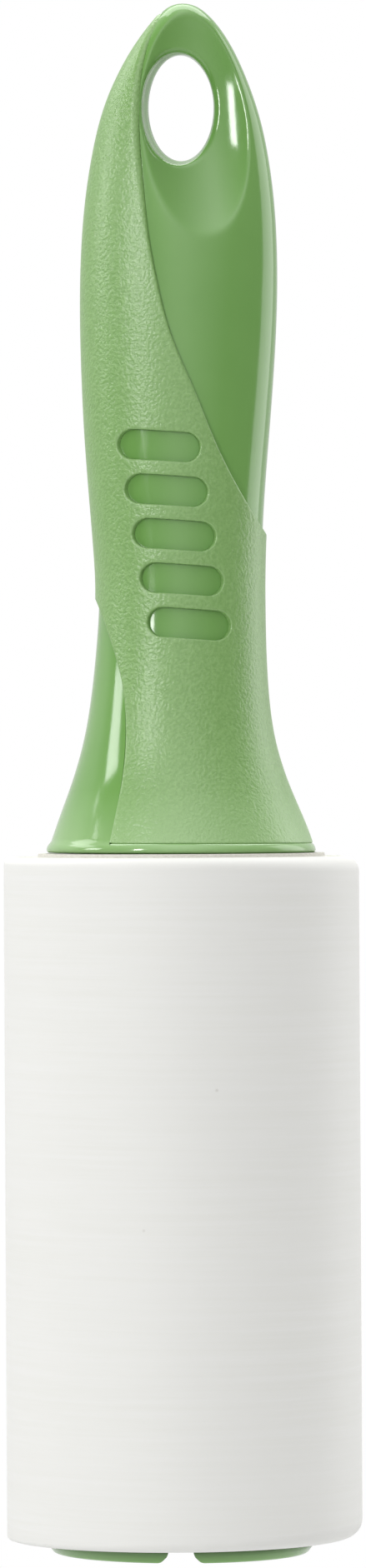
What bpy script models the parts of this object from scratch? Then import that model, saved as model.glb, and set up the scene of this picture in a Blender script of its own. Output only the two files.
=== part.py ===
"""Lint roller: a two-shot moulded handle, a cage that spins on its axle and a slide-off paper refill.

Metres, +Z up the roller's axis, front towards -Y, origin on the floor under the axis: the roller
stands on the two lips of its cage. Heights on the handle are measured up from the rim of its skirt.
"""
import math

import bmesh
import bpy
import numpy as np
from mathutils import Matrix

# Clearance left between pieces that touch
GAP = 0.0003

# Refill: a 4 inch roll on a cardboard core
ROLL_LENGTH = 0.1016
ROLL_RADIUS = 0.0265
SHEET_THICKNESS = 0.0003
CORE_INNER = 0.02015
CORE_OUTER = 0.0214
CORE_PROUD = 0.0005
SHEET_EDGE_GAP = 0.0012
SHEET_EDGE_ANGLE = math.radians(115)

# Cage: a hub with two half-round spring fingers
LIP_DROP = 0.0022
LIP_RADIUS = 0.0198
FINGER_OUTER = 0.0195
FINGER_INNER = 0.0177
LIP_FACE_OUTER = 0.0187
LIP_FACE_INNER = 0.0179
SLIT_WIDTH = 0.0036
SLIT_MOUTH = 0.0075
FINGER_PIVOT_X = 0.012
DISC_THICKNESS = 0.003
SLEEVE_OUTER = 0.0052
COLLAR_RADIUS = 0.006
COLLAR_HEIGHT = 0.001

# Axle, its thrust washer and the push nut on its lower end
AXLE_RADIUS = 0.003
AXLE_BOTTOM = 0.0042
AXLE_IN_HANDLE = 0.047
NUT_BOTTOM = 0.0066
NUT_HEIGHT = 0.0018
NUT_RADIUS = 0.0066
WASHER_HEIGHT = 0.0008
WASHER_RADIUS = 0.0058

# Heights that follow from them
ROLL_BOTTOM = LIP_DROP
ROLL_TOP = ROLL_BOTTOM + ROLL_LENGTH
CORE_TOP = ROLL_TOP + CORE_PROUD
RIM = CORE_TOP + GAP
DISC_TOP = CORE_TOP - 0.0001
DISC_BOTTOM = DISC_TOP - DISC_THICKNESS
FINGER_TOP = DISC_BOTTOM - GAP
COLLAR_TOP = DISC_TOP + COLLAR_HEIGHT
WASHER_BOTTOM = COLLAR_TOP + GAP
SLEEVE_BOTTOM = NUT_BOTTOM + NUT_HEIGHT + GAP
BORE_RADIUS = AXLE_RADIUS + GAP

# Handle outline: height above the rim, half width, half depth
HANDLE = (
    (0.0000, 0.02010, 0.02010),
    (0.0025, 0.01920, 0.01890),
    (0.0052, 0.01805, 0.01760),
    (0.0102, 0.01610, 0.01530),
    (0.0176, 0.01400, 0.01300),
    (0.0240, 0.01302, 0.01190),
    (0.0320, 0.01233, 0.01110),
    (0.0395, 0.01210, 0.01080),
    (0.0460, 0.01235, 0.01065),
    (0.0535, 0.01285, 0.01060),
    (0.0624, 0.01352, 0.01055),
    (0.0711, 0.01405, 0.01045),
    (0.0798, 0.01438, 0.01020),
    (0.0885, 0.01435, 0.00965),
    (0.0965, 0.01385, 0.00890),
    (0.1040, 0.01280, 0.00795),
    (0.1100, 0.01140, 0.00720),
    (0.1152, 0.00950, 0.00640),
    (0.1196, 0.00740, 0.00550),
    (0.1226, 0.00550, 0.00460),
    (0.1247, 0.00375, 0.00340),
    (0.1260, 0.00210, 0.00200),
    (0.1265, 0.00000, 0.00000),
)
# Hollow inside the handle, open at the rim
HOLLOW = (
    (-0.0020, 0.0178, 0.0178),
    (0.0000, 0.0177, 0.0177),
    (0.0076, 0.0144, 0.0138),
    (0.0176, 0.0113, 0.0103),
    (0.0376, 0.0095, 0.0082),
    (0.0600, 0.0092, 0.0078),
    (0.0700, 0.0084, 0.0072),
)
BOSS_RADIUS = 0.006
RIB_THICKNESS = 0.0016
RIB_BOTTOM = 0.012

# Textured grip: a second shot that stands proud of the gloss body and is let into it.
# Its front edges, as x and height above the rim, are the same front and back.
GRIP_PROUD = 0.0006
GRIP_DEPTH = 0.0010
GRIP_BOTTOM = 0.0015
GRIP_INNER_EDGE = (
    (-0.0004, 0.1285),
    (-0.0022, 0.1262),
    (-0.0034, 0.1239),
    (-0.0046, 0.1210),
    (-0.0055, 0.1175),
    (-0.0061, 0.1130),
    (-0.0062, 0.1085),
    (-0.0059, 0.1030),
    (-0.0054, 0.0975),
    (-0.0047, 0.0910),
    (-0.0036, 0.0850),
    (-0.0015, 0.0768),
    (0.0020, 0.0682),
    (0.0053, 0.0600),
    (0.0086, 0.0534),
    (0.0119, 0.0479),
    (0.0150, 0.0434),
)
GRIP_LOWER_EDGE = (
    (-0.0105, GRIP_BOTTOM),
    (-0.0095, 0.0061),
    (-0.00845, 0.0130),
    (-0.0082, 0.0190),
    (-0.00865, 0.0248),
    (-0.00995, 0.0304),
    (-0.0123, 0.0376),
    (-0.0150, 0.0440),
)
# The grip's outline is closed well outside the handle
OUTSIDE_X = 0.026
OUTSIDE_TOP = 0.135

# Five slanted pill windows in the grip's front, which show the gloss body
PILL_COUNT = 5
PILL_LENGTH = 0.0120
PILL_HEIGHT = 0.0044
PILL_TOP = (-0.0032, 0.0601)
PILL_STEP = (0.0011, -0.0066)
PILL_SLANT = math.radians(-4)

# Hanging eyelet and the scoop round it, front and back, which stops short of the grip
EYELET_HEIGHT = 0.1109
EYELET_HALF = (0.00485, 0.0079)
SCOOP_RADII = (0.0229, 0.0400, 0.0385)
SCOOP_CENTRE = (0.0020, 0.0419, 0.1140)
SCOOP_LIP = 0.0009

HANDLE_SEGMENTS = 36
TURNED_SEGMENTS = 48
FAR = 0.04


def clear_scene():
    for item in list(bpy.data.objects):
        bpy.data.objects.remove(item)


def new_collection(name):
    collection = bpy.data.collections.new(name)
    bpy.context.scene.collection.children.link(collection)
    return collection


def new_material(name, colour, roughness, metallic=0.0):
    material = bpy.data.materials.new(name)
    material.use_nodes = True
    shader = material.node_tree.nodes["Principled BSDF"]
    shader.inputs["Base Color"].default_value = (*colour, 1.0)
    shader.inputs["Roughness"].default_value = roughness
    shader.inputs["Metallic"].default_value = metallic
    return material


def new_object(name, mesh, collection, material=None):
    item = bpy.data.objects.new(name, mesh)
    collection.objects.link(item)
    if material:
        mesh.materials.append(material)
    return item


def mark_cutter(item):
    item.hide_render = True
    item.display_type = "WIRE"
    return item


def smooth_line(points, per_span):
    """Points along the smooth curve through the given ones, per_span to each stretch."""
    points = np.array(points)
    steps = np.sqrt(np.linalg.norm(np.diff(points, axis=0), axis=1))
    t = np.concatenate([[0.0], np.cumsum(steps)])
    slopes = np.gradient(points, t, axis=0)
    line = []
    for i, span in enumerate(steps):
        for u in np.arange(per_span) / per_span:
            line.append(
                (2 * u**3 - 3 * u**2 + 1) * points[i]
                + (u**3 - 2 * u**2 + u) * span * slopes[i]
                + (3 * u**2 - 2 * u**3) * points[i + 1]
                + (u**3 - u**2) * span * slopes[i + 1]
            )
    line.append(points[-1])
    return np.array(line)


def loft_mesh(name, stations, offset=0.0, below=0.0):
    """A closed skin through elliptical stations, moved out by offset and extended below the first one.

    A last station of no width closes in a point, and any other in a flat cap.
    """
    rows = np.array(stations)
    if below:
        step = rows[1] - rows[0]
        rows = np.vstack([rows[0] - step * below / step[0], rows])
    pointed = rows[-1][1] == 0
    slopes = np.gradient(rows, axis=0)
    angles = 2 * math.pi * np.arange(HANDLE_SEGMENTS) / HANDLE_SEGMENTS
    mesh = bpy.data.meshes.new(name)
    shape = bmesh.new()
    rings = []
    for (z, a, b), (dz, da, db) in zip(rows, slopes):
        if a == 0:
            break
        ring = []
        for cosine, sine in zip(np.cos(angles), np.sin(angles)):
            point = np.array((a * cosine, b * sine, RIM + z))
            normal = np.array((b * cosine * dz, a * sine * dz, -b * da * cosine**2 - a * db * sine**2))
            ring.append(shape.verts.new(point + offset * normal / np.linalg.norm(normal)))
        rings.append(ring)
    for lower, upper in zip(rings, rings[1:]):
        for i in range(HANDLE_SEGMENTS):
            j = (i + 1) % HANDLE_SEGMENTS
            shape.faces.new((lower[i], lower[j], upper[j], upper[i]))
    shape.faces.new(reversed(rings[0]))
    if pointed:
        tip = shape.verts.new((0, 0, RIM + rows[-1][0] + offset))
        for i in range(HANDLE_SEGMENTS):
            shape.faces.new((rings[-1][i], rings[-1][(i + 1) % HANDLE_SEGMENTS], tip))
    else:
        shape.faces.new(rings[-1])
    for face in shape.faces:
        face.smooth = True
    shape.to_mesh(mesh)
    shape.free()
    return mesh


def turned(name, profile, closed, collection, material):
    """A profile of radius and height, outer side from top to bottom, turned about the Z axis."""
    mesh = bpy.data.meshes.new(name)
    count = len(profile)
    edges = [(i, i + 1) for i in range(count - 1)]
    if closed:
        edges.append((count - 1, 0))
    mesh.from_pydata([(radius, 0, z) for radius, z in profile], edges, [])
    item = new_object(name, mesh, collection, material)
    screw = item.modifiers.new("turn", "SCREW")
    screw.steps = TURNED_SEGMENTS
    screw.render_steps = TURNED_SEGMENTS
    screw.use_merge_vertices = True
    screw.merge_threshold = 0.00001
    return item


def ring_profile(inner, outer, bottom, top, edge=0.0):
    """A plain ring's section, with its outer corners cut off by edge."""
    return [
        (outer - edge, top),
        (outer, top - edge),
        (outer, bottom + edge),
        (outer - edge, bottom),
        (inner, bottom),
        (inner, top),
    ] if edge else [(outer, top), (outer, bottom), (inner, bottom), (inner, top)]


def prism(name, outline, collection, y_near=-FAR, y_far=FAR):
    """A flat outline in x and z, thickened along Y."""
    curve = bpy.data.curves.new(name, "CURVE")
    curve.dimensions = "2D"
    curve.fill_mode = "BOTH"
    curve.extrude = (y_far - y_near) / 2
    spline = curve.splines.new("POLY")
    spline.points.add(len(outline) - 1)
    for point, (x, z) in zip(spline.points, outline):
        point.co = (x, z, 0, 1)
    spline.use_cyclic_u = True
    flat = new_object(name, curve, collection)
    flat.rotation_euler = (math.pi / 2, 0, 0)
    flat.location = (0, (y_near + y_far) / 2, 0)
    bpy.context.view_layer.update()
    mesh = bpy.data.meshes.new_from_object(flat.evaluated_get(bpy.context.evaluated_depsgraph_get()))
    shape = bmesh.new()
    shape.from_mesh(mesh)
    bmesh.ops.remove_doubles(shape, verts=shape.verts, dist=0.000001)
    bmesh.ops.recalc_face_normals(shape, faces=shape.faces)
    shape.to_mesh(mesh)
    shape.free()
    solid = new_object(name + "_cutter", mesh, collection)
    solid.matrix_world = flat.matrix_world
    bpy.data.objects.remove(flat)
    return mark_cutter(solid)


def boolean(item, cutter, operation="DIFFERENCE"):
    modifier = item.modifiers.new(cutter.name, "BOOLEAN")
    modifier.operation = operation
    modifier.object = cutter


def edge_line(points, outward):
    """The smooth edge through the points, moved sideways by outward to the left of its run."""
    line = smooth_line(points, 2)
    along = np.gradient(line, axis=0)
    along /= np.linalg.norm(along, axis=1)[:, None]
    return line + outward * np.column_stack([-along[:, 1], along[:, 0]])


def grip_outline(grow):
    """The grip's outline in x and z, grown sideways by grow."""
    inner = edge_line(GRIP_INNER_EDGE, grow)
    lower = edge_line(GRIP_LOWER_EDGE, grow)
    lower[0, 1] = GRIP_BOTTOM - grow
    right = [(OUTSIDE_X, inner[-1, 1]), (OUTSIDE_X, GRIP_BOTTOM - grow)]
    left = [(-OUTSIDE_X, lower[-1, 1]), (-OUTSIDE_X, OUTSIDE_TOP), (inner[0, 0], OUTSIDE_TOP)]
    outline = [*inner, *right, *lower, *left]
    return [(x, RIM + z) for x, z in outline]


def pill_outline(index, shrink):
    """One slanted pill: two half circles joined by straight sides."""
    radius = PILL_HEIGHT / 2 - shrink
    reach = (PILL_LENGTH - PILL_HEIGHT) / 2
    centre = (PILL_TOP[0] + index * PILL_STEP[0], RIM + PILL_TOP[1] + index * PILL_STEP[1])
    outline = []
    for side in (1, -1):
        for i in range(9):
            angle = math.pi * (i / 8 - 0.5) + (0 if side > 0 else math.pi)
            x = side * reach + radius * math.cos(angle)
            z = radius * math.sin(angle)
            outline.append((
                centre[0] + x * math.cos(PILL_SLANT) - z * math.sin(PILL_SLANT),
                centre[1] + x * math.sin(PILL_SLANT) + z * math.cos(PILL_SLANT),
            ))
    return outline


def take(item, name, collection):
    """Name the primitive that was just added, and move it to its collection."""
    item.name = name
    for owner in list(item.users_collection):
        owner.objects.unlink(item)
    collection.objects.link(item)
    return mark_cutter(item)


def cylinder_cutter(name, radius, bottom, top, collection):
    bpy.ops.mesh.primitive_cylinder_add(vertices=TURNED_SEGMENTS, radius=radius, depth=top - bottom)
    item = take(bpy.context.object, name, collection)
    item.location = (0, 0, (bottom + top) / 2)
    return item


def box_cutter(name, size, centre, collection, turn=0.0):
    bpy.ops.mesh.primitive_cube_add(size=1)
    item = take(bpy.context.object, name, collection)
    item.data.transform(Matrix.Diagonal((*size, 1)))
    item.location = centre
    item.rotation_euler = (0, 0, turn)
    return item


def hollow_cutter(cutters):
    """The handle's hollow, less the axle's boss and the four ribs that hold it."""
    hollow = mark_cutter(new_object("hollow", loft_mesh("hollow", HOLLOW), cutters))
    boss_top = RIM + HOLLOW[-1][0] + 0.01
    boss = cylinder_cutter("boss", BOSS_RADIUS, WASHER_BOTTOM + WASHER_HEIGHT + GAP, boss_top, cutters)
    boolean(hollow, boss)
    for i in range(2):
        rib_height = boss_top - RIM - RIB_BOTTOM
        rib_centre = (0, 0, RIM + RIB_BOTTOM + rib_height / 2)
        size = (2 * FAR, RIB_THICKNESS, rib_height)
        rib = box_cutter(f"rib_{i}", size, rib_centre, cutters, math.pi * (0.25 + 0.5 * i))
        boolean(hollow, rib)
    return hollow


def grip_seat_cutter(cutters):
    """The seat let into the body for the grip, with a pad left standing in each pill window."""
    seat = prism("grip_seat", grip_outline(GAP), cutters)
    floor = loft_mesh("seat_floor", HANDLE, -GRIP_DEPTH - GAP, FAR)
    boolean(seat, mark_cutter(new_object("seat_floor", floor, cutters)))
    for i in range(PILL_COUNT):
        boolean(seat, prism(f"pad_{i}", pill_outline(i, GAP), cutters, -FAR, 0))
    return seat


def make_handle(parts, cutters, gloss, textured):
    body = new_object("handle_body", loft_mesh("handle_body", HANDLE), parts, gloss)
    boolean(body, hollow_cutter(cutters))
    axle_top = RIM + AXLE_IN_HANDLE + GAP
    boolean(body, cylinder_cutter("axle_bore", BORE_RADIUS, RIM - 0.001, axle_top, cutters))
    boolean(body, grip_seat_cutter(cutters))
    beside_grip = prism("beside_grip", grip_outline(SCOOP_LIP), cutters)
    for side, name in ((-1, "scoop_front"), (1, "scoop_back")):
        bpy.ops.mesh.primitive_uv_sphere_add(segments=96, ring_count=48, radius=1)
        scoop = take(bpy.context.object, name, cutters)
        scoop.data.transform(Matrix.Diagonal((*SCOOP_RADII, 1)))
        scoop.location = (SCOOP_CENTRE[0], side * SCOOP_CENTRE[1], RIM + SCOOP_CENTRE[2])
        boolean(scoop, beside_grip)
        boolean(body, scoop)
    eyelet = cylinder_cutter("eyelet", 1, -FAR, FAR, cutters)
    half_x, half_z = EYELET_HALF
    eyelet.data.transform(Matrix.Rotation(math.pi / 2, 4, "X") @ Matrix.Diagonal((half_x, half_z, 1, 1)))
    eyelet.location = (0, 0, RIM + EYELET_HEIGHT)
    boolean(body, eyelet)

    skin = loft_mesh("grip_overmould", HANDLE, GRIP_PROUD, 0.004)
    grip = new_object("grip_overmould", skin, parts, textured)
    boolean(grip, prism("grip_area", grip_outline(0), cutters), "INTERSECT")
    core = loft_mesh("grip_core", HANDLE, -GRIP_DEPTH, FAR)
    boolean(grip, mark_cutter(new_object("grip_core", core, cutters)))
    for i in range(PILL_COUNT):
        boolean(grip, prism(f"pill_{i}", pill_outline(i, 0), cutters, -FAR, 0))


def make_axle(parts, steel, nylon):
    chamfer = 0.0005
    axle_top = RIM + AXLE_IN_HANDLE
    axle = [
        (0, axle_top),
        (AXLE_RADIUS - chamfer, axle_top),
        (AXLE_RADIUS, axle_top - chamfer),
        (AXLE_RADIUS, AXLE_BOTTOM + chamfer),
        (AXLE_RADIUS - chamfer, AXLE_BOTTOM),
        (0, AXLE_BOTTOM),
    ]
    turned("axle", axle, False, parts, steel)
    washer_top = WASHER_BOTTOM + WASHER_HEIGHT
    washer = ring_profile(BORE_RADIUS, WASHER_RADIUS, WASHER_BOTTOM, washer_top)
    turned("thrust_washer", washer, True, parts, nylon)
    nut_top = NUT_BOTTOM + NUT_HEIGHT
    nut = ring_profile(BORE_RADIUS, NUT_RADIUS, NUT_BOTTOM, nut_top, chamfer)
    turned("push_nut", nut, True, parts, steel)


def make_cage(parts, cutters, gloss):
    hub = [
        (COLLAR_RADIUS, COLLAR_TOP),
        (COLLAR_RADIUS, DISC_TOP),
        (FINGER_OUTER, DISC_TOP),
        (FINGER_OUTER, DISC_BOTTOM),
        (SLEEVE_OUTER, DISC_BOTTOM),
        (SLEEVE_OUTER, SLEEVE_BOTTOM),
        (BORE_RADIUS, SLEEVE_BOTTOM),
        (BORE_RADIUS, COLLAR_TOP),
    ]
    turned("cage_hub", hub, True, parts, gloss)
    finger = [
        (FINGER_OUTER, FINGER_TOP),
        (FINGER_OUTER, 0.0036),
        (LIP_RADIUS, LIP_DROP),
        (LIP_RADIUS, 0.0013),
        (0.0194, 0.0004),
        (LIP_FACE_OUTER, 0),
        (LIP_FACE_INNER, 0),
        (FINGER_INNER, 0.0004),
        (FINGER_INNER, FINGER_TOP),
    ]
    for side, name in ((-1, "left_finger"), (1, "right_finger")):
        item = turned(name, finger, True, parts, gloss)
        slit_edge = [
            (side * SLIT_WIDTH / 2, FINGER_TOP + FAR),
            (side * SLIT_WIDTH / 2, LIP_DROP),
            (side * SLIT_MOUTH / 2, 0),
            (side * SLIT_MOUTH / 2, -FAR),
            (-side * FAR, -FAR),
            (-side * FAR, FINGER_TOP + FAR),
        ]
        boolean(item, prism(name + "_slit", slit_edge, cutters))
        pivot = bpy.data.objects.new(name + "_pivot", None)
        pivot.location = (side * FINGER_PIVOT_X, 0, FINGER_TOP + GAP / 2)
        parts.objects.link(pivot)
        item.parent = pivot
        item.matrix_parent_inverse = Matrix.Translation(-pivot.location)


def make_refill(parts, cutters, card, paper):
    core = ring_profile(CORE_INNER, CORE_OUTER, ROLL_BOTTOM, CORE_TOP)
    turned("core_tube", core, True, parts, card)
    outer_inner = ROLL_RADIUS - SHEET_THICKNESS
    wound = ring_profile(CORE_OUTER + GAP, outer_inner - GAP, ROLL_BOTTOM, ROLL_TOP)
    turned("sheet_roll", wound, True, parts, paper)
    sheet = turned(
        "outer_sheet", ring_profile(outer_inner, ROLL_RADIUS, ROLL_BOTTOM, ROLL_TOP), True, parts, paper
    )
    edge_x = ROLL_RADIUS * math.cos(SHEET_EDGE_ANGLE)
    edge_y = ROLL_RADIUS * math.sin(SHEET_EDGE_ANGLE)
    centre = (edge_x, edge_y, ROLL_TOP / 2)
    size = (0.01, SHEET_EDGE_GAP, 2 * ROLL_LENGTH)
    boolean(sheet, box_cutter("sheet_edge", size, centre, cutters, SHEET_EDGE_ANGLE))


def build():
    clear_scene()
    parts = new_collection("lint_roller")
    cutters = new_collection("lint_roller_cutters")
    gloss = new_material("gloss_green", (0.17, 0.35, 0.09), 0.15)
    textured = new_material("textured_green", (0.22, 0.41, 0.14), 0.45)
    steel = new_material("plated_steel", (0.62, 0.62, 0.63), 0.3, 1.0)
    nylon = new_material("natural_nylon", (0.80, 0.79, 0.74), 0.5)
    card = new_material("core_board", (0.74, 0.72, 0.67), 0.9)
    paper = new_material("white_paper", (0.80, 0.80, 0.77), 0.7)
    make_handle(parts, cutters, gloss, textured)
    make_axle(parts, steel, nylon)
    make_cage(parts, cutters, gloss)
    make_refill(parts, cutters, card, paper)


build()
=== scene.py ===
"""Looks of the lint roller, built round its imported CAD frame.

Metres, +Z up the roller's axis, front towards -Y. Sizes named here are in millimetres and become metres
as each piece is made. Heights on the handle are measured up from the rim of its skirt.
"""
import math

import bmesh
import bpy
import numpy as np
from mathutils import Matrix, Vector
from mathutils.kdtree import KDTree


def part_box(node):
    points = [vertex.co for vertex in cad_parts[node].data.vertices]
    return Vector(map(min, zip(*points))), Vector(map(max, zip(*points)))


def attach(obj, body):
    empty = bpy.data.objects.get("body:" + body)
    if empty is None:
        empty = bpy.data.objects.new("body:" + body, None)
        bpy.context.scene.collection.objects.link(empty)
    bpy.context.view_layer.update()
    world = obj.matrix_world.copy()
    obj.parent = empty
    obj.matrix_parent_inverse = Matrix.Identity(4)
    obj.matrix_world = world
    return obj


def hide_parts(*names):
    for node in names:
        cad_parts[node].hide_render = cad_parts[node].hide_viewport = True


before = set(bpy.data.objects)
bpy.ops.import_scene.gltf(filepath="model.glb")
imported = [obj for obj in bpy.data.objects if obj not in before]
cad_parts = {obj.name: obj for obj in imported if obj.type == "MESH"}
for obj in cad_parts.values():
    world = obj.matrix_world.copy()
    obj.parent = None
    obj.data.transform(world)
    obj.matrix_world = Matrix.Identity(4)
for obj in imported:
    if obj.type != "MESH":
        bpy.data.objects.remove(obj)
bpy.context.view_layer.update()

MM = 0.001
TURN = 2 * math.pi

# Heights and radii taken from the frame, in millimetres
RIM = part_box("handle_body")[0].z / MM
ROLL_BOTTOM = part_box("outer_sheet")[0].z / MM
ROLL_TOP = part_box("outer_sheet")[1].z / MM
ROLL_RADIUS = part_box("outer_sheet")[1].x / MM
CORE_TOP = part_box("core_tube")[1].z / MM
CORE_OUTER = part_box("core_tube")[1].x / MM
HUB_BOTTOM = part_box("cage_hub")[0].z / MM
HUB_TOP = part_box("cage_hub")[1].z / MM
HUB_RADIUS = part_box("cage_hub")[1].x / MM
FINGER_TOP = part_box("right_finger")[1].z / MM
AXLE_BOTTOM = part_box("axle")[0].z / MM
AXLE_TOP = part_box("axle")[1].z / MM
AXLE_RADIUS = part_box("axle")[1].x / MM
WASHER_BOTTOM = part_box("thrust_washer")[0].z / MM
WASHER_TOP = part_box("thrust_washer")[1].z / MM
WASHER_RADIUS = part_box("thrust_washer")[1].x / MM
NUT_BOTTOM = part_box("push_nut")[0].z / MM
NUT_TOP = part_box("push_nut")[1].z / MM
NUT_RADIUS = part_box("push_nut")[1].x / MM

# Handle outline: height above the rim, sideways lean of its middle, half width, half depth
HANDLE = np.array((
    (-0.25, 0.0, 19.95, 19.95),
    (1.5, 0.05, 19.4, 19.2),
    (5.2, -0.02, 18.05, 17.6),
    (10.2, -0.18, 16.1, 15.3),
    (17.6, -0.27, 14.0, 13.0),
    (24.0, -0.25, 13.02, 11.9),
    (32.0, -0.16, 12.33, 11.1),
    (39.5, -0.10, 12.1, 10.8),
    (46.0, -0.22, 12.35, 10.65),
    (53.5, -0.34, 12.85, 10.6),
    (62.4, -0.33, 13.52, 10.55),
    (71.1, -0.22, 14.05, 10.45),
    (79.8, -0.10, 14.38, 10.2),
    (88.5, 0.0, 14.35, 9.65),
    (96.5, 0.08, 13.85, 8.9),
    (104.0, 0.15, 12.8, 7.95),
    (110.0, 0.2, 11.4, 7.2),
    (115.2, 0.3, 9.5, 6.4),
    (119.6, 0.4, 7.4, 5.5),
    (122.6, 0.45, 5.5, 4.6),
    (124.7, 0.4, 3.75, 3.4),
    (126.0, 0.3, 2.1, 2.0),
    (126.5, 0.25, 0.0, 0.0),
))
# Stations mirrored through the tip, so that the outline crosses it level
TIP_MIRROR = 3
RIM_ROUND = 0.45
# Inside of the body from the rim up to the hollow's top, and down round the axle's boss to its bore
INSIDE = (
    (-0.25, 17.9, 17.9),
    (0.0, 17.7, 17.7),
    (7.6, 14.4, 13.8),
    (17.6, 11.3, 10.3),
    (37.6, 9.5, 8.2),
    (60.0, 9.2, 7.8),
    (69.0, 8.4, 7.2),
    (70.0, 7.6, 6.6),
    (70.0, 6.1, 6.1),
    (69.5, 6.0, 6.0),
    (2.6, 6.0, 6.0),
    (2.0, 5.6, 5.6),
    (2.0, 3.5, 3.5),
    (2.3, 3.3, 3.3),
    (47.3, 3.3, 3.3),
)
BORE_TOP = 47.6

# Textured grip: a second shot, proud of the gloss body and let into it.
# Its edges as x and height, the same front and back
GRIP_PROUD = 0.6
GRIP_PROUD_LOW = 0.15
PROUD_FROM = (14, 38)
PROUD_UNTIL = (112, 126)
GRIP_DEPTH = 1.0
SEAT_DEPTH = 1.3
GRIP_BOTTOM = 1.25
INNER_EDGE = np.array((
    (-0.4, 128.5),
    (-2.2, 126.2),
    (-3.4, 123.9),
    (-4.6, 121.0),
    (-5.5, 117.5),
    (-6.1, 113.0),
    (-6.2, 108.5),
    (-5.9, 103.0),
    (-5.4, 97.5),
    (-4.7, 91.0),
    (-3.6, 85.0),
    (-1.5, 76.8),
    (2.0, 68.2),
    (5.3, 60.0),
    (8.6, 53.4),
    (11.9, 47.9),
    (15.0, 43.4),
))
LOWER_EDGE = np.array((
    (-10.5, 1.25),
    (-9.5, 6.1),
    (-8.45, 13.0),
    (-8.2, 19.0),
    (-8.65, 24.8),
    (-9.95, 30.4),
    (-12.3, 37.6),
    (-15.0, 44.0),
))
EDGE_ROUND = 0.35
EDGE_ROUND_LOW = 0.12
EDGE_ROUND_TOP = 1.1
EDGE_SKIRT = (3, 14)
EDGE_SCOOP = (88, 108)
EDGE_LEVELS = (0, 0.03, 0.1, 0.2, 0.35, 0.65, 1.1)
SEAT_GAP = 0.012
PAD_DEPTH = 0.25
# Gloss bead round the rim, under the grip's lower end
BEAD = 0.3
BEAD_LENGTH = 1.6

# Five slanted pill windows in the grip's front, which show the gloss body
PILL_COUNT = 5
PILL_LENGTH = 12.0
PILL_HEIGHT = 4.4
PILL_TOP = (-3.2, 60.1)
PILL_STEP = (1.1, -6.6)
PILL_SLANT = math.radians(-4)
PILL_ROUND = 0.25
PILL_LEVELS = (0, 0.04, 0.12, 0.25)

# Hanging eyelet: its mouths, which are wider to the left and below than its throat, and the scoop round it
MOUTH = (-0.4, 110.6)
MOUTH_HALF = (5.35, 8.35)
THROAT = (0.0, 110.9)
THROAT_HALF = (4.85, 7.9)
EYELET_ROUND = 0.9
EYELET_LEVELS = (0, 0.02, 0.08, 0.2, 0.4, 0.65, 0.9)
WALL_CUTS = 7
WALL_DEPTH = 3.2
SCOOP_RADII = (21.7, 40.0, 40.5)
SCOOP_CENTRE = (3.1, 41.9, 114.2)
SCOOP_TILT = math.radians(8)
SCOOP_SOFT = 0.3

# Columns and rows of the handle's grid, with extra rows at the rim
AROUND = 232
ALONG = 264
RIM_ROWS = (0, 0.03, 0.1, 0.22, 0.45)
BODY_START = 0.9


# ---------------------------------------------------------------- curves
def natural_spline(knots, values):
    """The natural cubic spline through the values, as a function that gives value and slope."""
    count = len(knots)
    step = np.diff(knots)
    system = np.eye(count)
    right = np.zeros_like(values)
    for i in range(1, count - 1):
        system[i, i - 1:i + 2] = step[i - 1], 2 * (step[i - 1] + step[i]), step[i]
        right[i] = 6 * ((values[i + 1] - values[i]) / step[i] - (values[i] - values[i - 1]) / step[i - 1])
    bend = np.linalg.solve(system, right)

    def at(t):
        i = np.clip(np.searchsorted(knots, t, side="right") - 1, 0, count - 2)
        span = step[i][:, None]
        u = ((t - knots[i]) / step[i])[:, None]
        v = 1 - u
        value = v * values[i] + u * values[i + 1]
        value = value + span**2 / 6 * ((v**3 - v) * bend[i] + (u**3 - u) * bend[i + 1])
        slope = (values[i + 1] - values[i]) / span
        slope = slope + span / 6 * ((1 - 3 * v**2) * bend[i] + (3 * u**2 - 1) * bend[i + 1])
        return value, slope

    return at


def chord_knots(points):
    return np.concatenate([[0.0], np.cumsum(np.linalg.norm(np.diff(points, axis=0), axis=1))])


def smooth_line(points, spacing):
    """Points every spacing along the smooth curve through the given ones."""
    knots = chord_knots(points)
    return natural_spline(knots, points)(np.linspace(0, knots[-1], int(knots[-1] / spacing) + 1))[0]


def smooth_step(x, low, high):
    u = np.clip((x - low) / (high - low), 0, 1)
    return u * u * (3 - 2 * u)


def round_over(gap, radius):
    """How far a rounded edge drops at a distance in from it."""
    left = np.clip(radius - gap, 0, radius)
    return radius - np.sqrt(np.maximum(radius**2 - left**2, 0))


# ---------------------------------------------------------------- the handle's surface
profile_rows = np.vstack([HANDLE, HANDLE[-2:-2 - TIP_MIRROR:-1] * (1, 1, -1, -1)])
profile_knots = chord_knots(profile_rows)
profile_at = natural_spline(profile_knots, profile_rows)
TIP = profile_knots[len(HANDLE) - 1]


def skin_at(theta, s):
    """Points and outward normals of the plain handle, at angle theta and distance s along its outline."""
    value, slope = profile_at(s)
    height, lean, a, b = value.T
    dz, _, da, db = slope.T
    a = np.maximum(a, 0)
    b = np.maximum(b, 0)
    cosine = np.cos(theta)
    sine = np.sin(theta)
    point = np.column_stack([lean + a * cosine, b * sine, height])
    normal = np.column_stack([b * cosine * dz, a * sine * dz, -(b * da * cosine**2 + a * db * sine**2)])
    normal[s > TIP - 0.0001] = (0, 0, 1)
    return point, normal / np.linalg.norm(normal, axis=1)[:, None]


def section(height):
    """Lean, half width and half depth at heights above the rim."""
    rows = profile_at(np.linspace(0, TIP, 4000))[0]
    return [np.interp(height, rows[:, 0], rows[:, i]) for i in (1, 2, 3)]


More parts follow.
